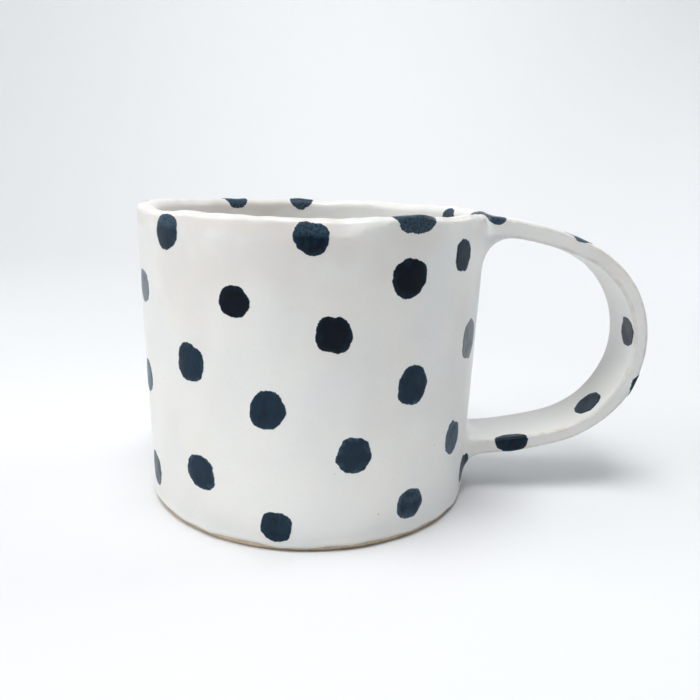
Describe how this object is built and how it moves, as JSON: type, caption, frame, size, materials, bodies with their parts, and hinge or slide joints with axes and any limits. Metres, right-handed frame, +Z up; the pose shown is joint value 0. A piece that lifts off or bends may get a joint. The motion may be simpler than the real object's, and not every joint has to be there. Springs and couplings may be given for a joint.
{
  "type": "mug",
  "caption": "Hand-built stoneware mug: straight slab wall, flat floor and a wide strap handle, white satin glaze over a bare foot, dark brushed dots outside and over the rim.",
  "frame": {"origin": "centre of the foot's underside, on the mug's own axis", "axes": "+Z up along the mug's axis; +X from the axis through the middle of the handle"},
  "size_m": [0.1419, 0.0943, 0.0802],
  "materials": {
    "stoneware": "unglazed buff stoneware, matt and slightly gritty",
    "white_glaze": "satin white tin glaze with fine iron specks, warmer where it is thin at the rim",
    "brushed_colour": "blue-black oxide brushed on in round dots, satin, slightly mottled"
  },
  "bodies": {
    "root": {"base": "stoneware", "corner_coil": "stoneware", "glaze_coat": "white_glaze", "handle": "stoneware", "handle_bottom_joint": "stoneware", "handle_dot_1": "brushed_colour", "handle_dot_2": "brushed_colour", "handle_dot_3": "brushed_colour", "handle_dot_4": "brushed_colour", "handle_dot_5": "brushed_colour", "handle_dot_6": "brushed_colour", "handle_dot_7": "brushed_colour", "handle_dot_8": "brushed_colour", "handle_top_joint": "stoneware", "inside_dot": "brushed_colour", "rim_dot_1": "brushed_colour", "rim_dot_2": "brushed_colour", "rim_dot_3": "brushed_colour", "wall": "stoneware", "wall_dot_01": "brushed_colour", "wall_dot_02": "brushed_colour", "wall_dot_03": "brushed_colour", "wall_dot_04": "brushed_colour", "wall_dot_05": "brushed_colour", "wall_dot_06": "brushed_colour", "wall_dot_07": "brushed_colour", "wall_dot_08": "brushed_colour", "wall_dot_09": "brushed_colour", "wall_dot_10": "brushed_colour", "wall_dot_11": "brushed_colour", "wall_dot_12": "brushed_colour", "wall_dot_13": "brushed_colour", "wall_dot_14": "brushed_colour", "wall_dot_15": "brushed_colour", "wall_dot_16": "brushed_colour", "wall_dot_17": "brushed_colour", "wall_dot_18": "brushed_colour", "wall_dot_19": "brushed_colour", "wall_dot_20": "brushed_colour", "wall_dot_21": "brushed_colour", "wall_dot_22": "brushed_colour", "wall_dot_23": "brushed_colour", "wall_dot_24": "brushed_colour", "wall_dot_25": "brushed_colour", "wall_dot_26": "brushed_colour", "wall_dot_27": "brushed_colour", "wall_dot_28": "brushed_colour", "wall_dot_29": "brushed_colour", "wall_dot_30": "brushed_colour", "wall_dot_31": "brushed_colour", "wall_dot_32": "brushed_colour", "wall_dot_33": "brushed_colour", "wall_dot_34": "brushed_colour", "wall_dot_35": "brushed_colour", "wall_dot_36": "brushed_colour"}
  },
  "joints": []
}
